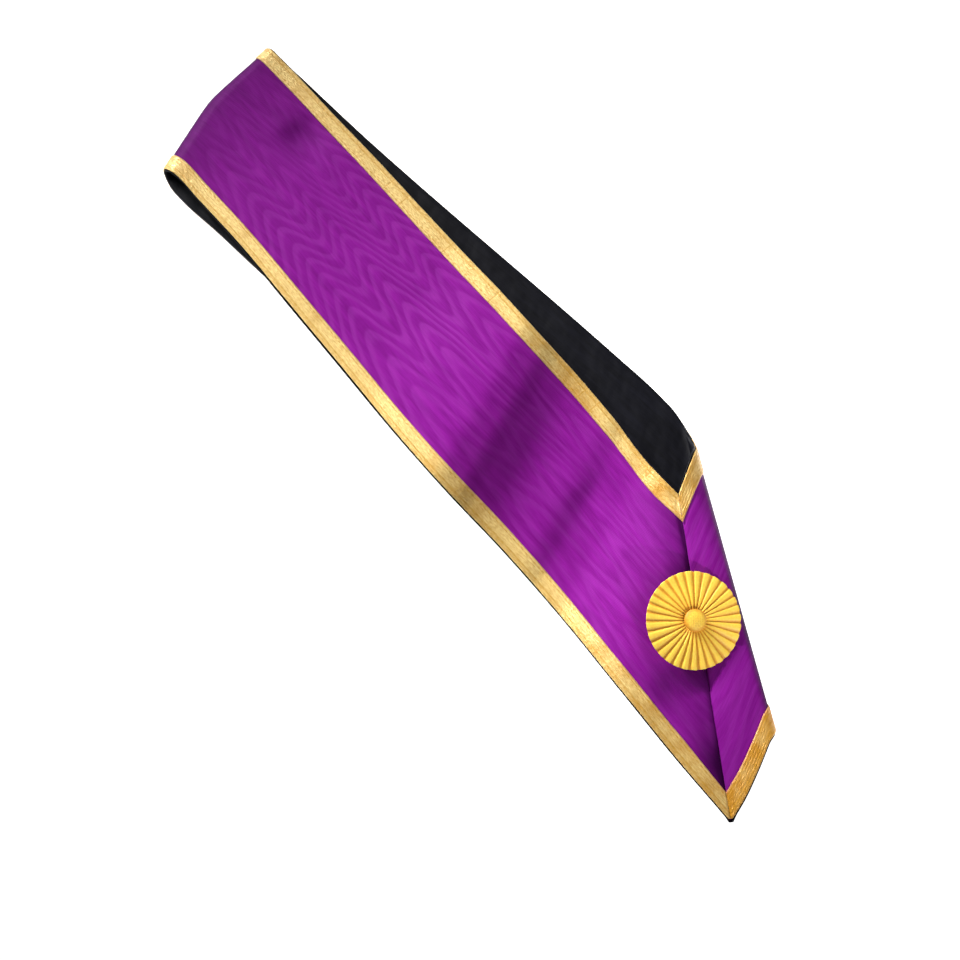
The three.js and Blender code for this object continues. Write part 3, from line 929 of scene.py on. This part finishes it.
def make_lace(name, node, inner):
    """Braid with raised cords along it and slightly rounded edges."""
    spacing, columns = LACE_GRID
    station, t = cloth_grid(station_list(spacing), np.linspace(0, 1, columns))
    point = LACE_CUT * blunt_point(station)
    share = point + (lace_share(station) - point) * t
    if inner:
        share = 1 - lace_share(station) * (1 - t)
    cords = CORD_HEIGHT * np.abs(np.sin(LACE_CORDS * math.pi * t))
    rounded = fading(t, LACE_EDGE) + fading(1 - t, LACE_EDGE)
    depth = LACE_TOP - CORD_HEIGHT + cords - rounded - seam_dip(station, share, LACE_SHARP_DIP)
    maps = lace_maps(station, share, t if inner else 1 - t, LACE_JOINS if inner else [])
    obj = cloth_piece(name, station, share, depth, maps, False)
    add_thickness(obj, LACE_THICKNESS)
    material_slot_of(obj, braid)
    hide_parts(node)
    return obj


face = make_face()
lining = make_lining()
outer_lace = make_lace("outer_lace", "outer_edge_lace", False)
inner_lace = make_lace("inner_lace", "inner_edge_lace", True)

# The rosette

# Grid of each round piece: its rings, and its steps round.
ROSETTE_GRID = (64, ROSETTE_PLEATS * 14)
BUTTON_GRID = (48, 72)
# Share of a round piece's rings that makes its top. The rest make its underside.
ROSETTE_TOP_SHARE = 0.76
BUTTON_TOP_SHARE = 0.75
# Of a pleat's width, measured from crease to crease: how much it rises over, and where it drops.
PLEAT_RISE = 0.5
PLEAT_DROP = 0.78
# How far the rim goes in and out over the pleats, in mm.
RIM_WAVE = 0.25
# Heights in mm over the rosette's foot: its middle, the swell about halfway out, the slope to the
# rim, how much the rim rounds off, the underside at the rim over its middle, and that middle.
ROSETTE_MIDDLE = 3.1
ROSETTE_SWELL = 0.9
ROSETTE_SLOPE = 0.3
RIM_DROP = 0.35
UNDERSIDE_RISE = 1.9
UNDERSIDE_MIDDLE = 0.25
# Depth of the pleats in mm: on top, how much less it is at the rim, and underneath. The heights
# above go through this share of a pleat's height.
PLEAT_DEPTH = 1.1
PLEAT_DEPTH_LOST = 0.35
PLEAT_DEPTH_UNDER = 0.5
PLEAT_LEVEL = 0.6
# How far the button's dome turns over and in under its edge.
BUTTON_TURN = math.radians(112)
CRINKLE_HEIGHT = 0.15

# Moves a round piece from the origin to its place on the V.
TO_THE_V = (
    Matrix.Translation((Vector(ROSETTE_CENTRE) + Vector(ORIGIN)) * MM)
    @ ROSETTE_UP.to_track_quat("Z", "Y").to_matrix().to_4x4()
)


def ease(t):
    """The same soft step as smooth_step, for one number."""
    t = min(1.0, max(0.0, t))
    return t * t * (3 - 2 * t)


def round_piece(name, rings, turns, shape, paint):
    """A closed round piece from a grid: shape(ring 0..1, angle) gives radius and height, and
    paint(radius, angle) its painted shade, from 0, as dark as in a crease, to 1."""
    bm = bmesh.new()
    bmesh.ops.create_grid(bm, x_segments=turns, y_segments=rings, size=1)
    for v in bm.verts:
        angle = math.pi * v.co.x
        radius, height = shape((v.co.y + 1) / 2, angle)
        v.co = Vector((radius * math.cos(angle), radius * math.sin(angle), height)) * MM
    bmesh.ops.remove_doubles(bm, verts=bm.verts, dist=1e-6)
    bmesh.ops.recalc_face_normals(bm, faces=bm.faces)
    raised = [(paint(v.co.xy.length / MM, math.atan2(v.co.y, v.co.x)), 0.0) for v in bm.verts]
    bmesh.ops.transform(bm, matrix=TO_THE_V, verts=bm.verts)
    return new_object(name, bm, {"pleat": np.array(raised)})


def pleat_height(angle):
    """Knife pleats: each rises over half its width, stays up, and drops into a narrow crease."""
    wobble = 0.5 * math.sin(3 * angle + 0.7) + 0.35 * math.sin(5 * angle + 2.0)
    turn = (ROSETTE_PLEATS * angle + wobble) / (2 * math.pi)
    t = turn - math.floor(turn)
    up = ease(t / PLEAT_RISE)
    down = 1 - ease((t - PLEAT_DROP) / (1 - PLEAT_DROP))
    return up * down * (0.85 + 0.15 * math.sin(7 * angle + 1.1) * math.sin(math.pi * t))


def pleat_shape(ring, angle):
    """From the middle of the top out over the rim, then back under to the middle."""
    pleat = pleat_height(angle)
    wave = RIM_WAVE * (pleat - 0.5)
    if ring < ROSETTE_TOP_SHARE:
        t = ring / ROSETTE_TOP_SHARE
        edge = ease((t - 0.9) / 0.1)
        radius = ROSETTE_RADIUS * (1 - (1 - t) ** 1.02) + wave * ease((t - 0.6) / 0.4)
        swell = ROSETTE_SWELL * math.sin(math.pi * min(1, t * 1.1)) ** 2
        crown = ROSETTE_MIDDLE + swell - ROSETTE_SLOPE * t
        depth = ease((t - 0.1) / 0.25) * (PLEAT_DEPTH - PLEAT_DEPTH_LOST * t)
        return radius, crown + depth * (pleat - PLEAT_LEVEL) - RIM_DROP * edge
    t = (ring - ROSETTE_TOP_SHARE) / (1 - ROSETTE_TOP_SHARE)
    radius = ROSETTE_RADIUS * (1 - t) + wave * (1 - t) ** 4
    under = UNDERSIDE_RISE * (1 - ease(t / 0.8)) + UNDERSIDE_MIDDLE
    return radius, under + PLEAT_DEPTH_UNDER * (1 - t) ** 2 * (pleat - PLEAT_LEVEL)


def pleat_painted_shade(radius, angle):
    """Painted shade by the height of the pleats, darker beside the button, where they close up."""
    return pleat_height(angle) * (0.5 + 0.5 * ease((radius - BUTTON_RADIUS) / 5))


def make_rosette():
    obj = round_piece("rosette", *ROSETTE_GRID, pleat_shape, pleat_painted_shade)
    material_slot_of(obj, ribbon_yellow)
    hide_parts("rosette_pleats")
    return obj


def crinkle(radius, angle):
    """Small crinkles of the satin on top of the button, from -1 to 1."""
    x, y = radius * math.cos(angle), radius * math.sin(angle)
    wave = math.sin(3.6 * x + 1.2 * math.sin(3.1 * y)) * math.cos(3.3 * y + 0.9 * math.sin(2.7 * x))
    return wave * (1 - ease((radius / BUTTON_RADIUS - 0.6) / 0.35))


def button_shape(ring, angle):
    """A domed top, slightly crinkled, that turns in under its own edge, then a flat base."""
    turn = BUTTON_TURN * min(1, ring / BUTTON_TOP_SHARE)
    radius = BUTTON_RADIUS * math.sin(turn)
    height = BUTTON_LEVEL + BUTTON_WAIST + (BUTTON_TOP - BUTTON_WAIST) * math.cos(turn)
    if ring < BUTTON_TOP_SHARE:
        return radius, height + CRINKLE_HEIGHT * crinkle(radius, angle)
    return radius * (1 - ring) / (1 - BUTTON_TOP_SHARE), height


def button_painted_shade(radius, angle):
    """Painted shade of the button: darker in the hollows of its crinkles and towards its edge."""
    return 0.55 + 0.2 * crinkle(radius, angle) - 0.45 * ease((radius / BUTTON_RADIUS - 0.6) / 0.4)


def make_button():
    obj = round_piece("covered_button", *BUTTON_GRID, button_shape, button_painted_shade)
    material_slot_of(obj, ribbon_yellow)
    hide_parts("rosette_button")
    return obj


rosette = make_rosette()
button = make_button()

# Floor, light and camera

# In metres: half the floor's side, and how far under the object's lowest plane it lies.
FLOOR_HALF_SIDE = 6
FLOOR_DROP = 0.0002
# Strength of the floor's own light, and of the light from all round.
FLOOR_GLOW = 0.9
ROOM_LIGHT = 0.16
WHITE = (1, 1, 1, 1)

# Lamps: place and the point looked at, in metres, then side in metres, watts and spread in degrees.
KEY_LAMP = ((-2.6, -0.15, 1.35), (0.06, -0.04, 0), 0.28, 0.207, 5.5)
FILL_LAMP = ((2.2, -0.3, 1.3), (0.215, 0.03, 0.02), 0.15, 0.07, 4.5)
# The key is three lamps in a row, so that the rosette's shadow is soft: how far each is moved.
KEY_ROW = (-0.5, 0.0, 0.5)

# The camera looks down from beyond the point of the V: its place in metres, how far round it
# stands, how steeply it looks down, and its lens and sensor in mm.
CAMERA_PLACE = (0.27094, -0.24108, 0.9511)
CAMERA_TURN = math.radians(50.5)
CAMERA_RISE = math.radians(72.0)
LENS = 63.5
SENSOR_WIDTH = 36.0


def make_floor():
    bm = bmesh.new()
    bmesh.ops.create_grid(bm, x_segments=1, y_segments=1, size=FLOOR_HALF_SIDE)
    bmesh.ops.translate(bm, verts=bm.verts, vec=(0, 0, -FLOOR_DROP))
    floor = new_object("floor", bm, {})
    glow = {"Emission Color": WHITE, "Emission Strength": FLOOR_GLOW}
    material, shader = new_material("backlit white acrylic table", "#FFFFFF", 0.9, **glow)
    floor.data.materials.append(material)


def area_light(name, settings, moved=0.0):
    """A square lamp from a row of settings, moved sideways by some metres."""
    (x, y, z), target, side, power, spread = settings
    place = Vector((x, y + moved, z))
    lamp = bpy.data.lights.new(name, "AREA")
    lamp.shape = "SQUARE"
    lamp.size = side
    lamp.energy = power
    lamp.spread = math.radians(spread)
    obj = bpy.data.objects.new(name, lamp)
    obj.location = place
    obj.rotation_euler = (Vector(target) - place).to_track_quat("-Z", "Y").to_euler()
    bpy.context.scene.collection.objects.link(obj)


def make_camera():
    x, y = math.cos(CAMERA_TURN), math.sin(CAMERA_TURN)
    level = math.cos(CAMERA_RISE)
    right = Vector((x, y, 0))
    back = Vector((y * level, -x * level, math.sin(CAMERA_RISE)))
    up = back.cross(right)
    data = bpy.data.cameras.new("camera")
    data.lens = LENS
    data.sensor_width = SENSOR_WIDTH
    obj = bpy.data.objects.new("camera", data)
    turned = Matrix((right, up, back)).transposed().to_4x4()
    turned.translation = Vector(CAMERA_PLACE)
    obj.matrix_world = turned
    bpy.context.scene.collection.objects.link(obj)
    bpy.context.scene.camera = obj


make_floor()
for moved in KEY_ROW:
    area_light("gridded key softbox", KEY_LAMP, moved)
area_light("gridded fill lamp", FILL_LAMP)
world = bpy.data.worlds.new("soft white room")
world.use_nodes = True
background = world.node_tree.nodes["Background"]
background.inputs["Color"].default_value = WHITE
background.inputs["Strength"].default_value = ROOM_LIGHT
bpy.context.scene.world = world
bpy.context.scene.view_settings.view_transform = "Standard"
make_camera()
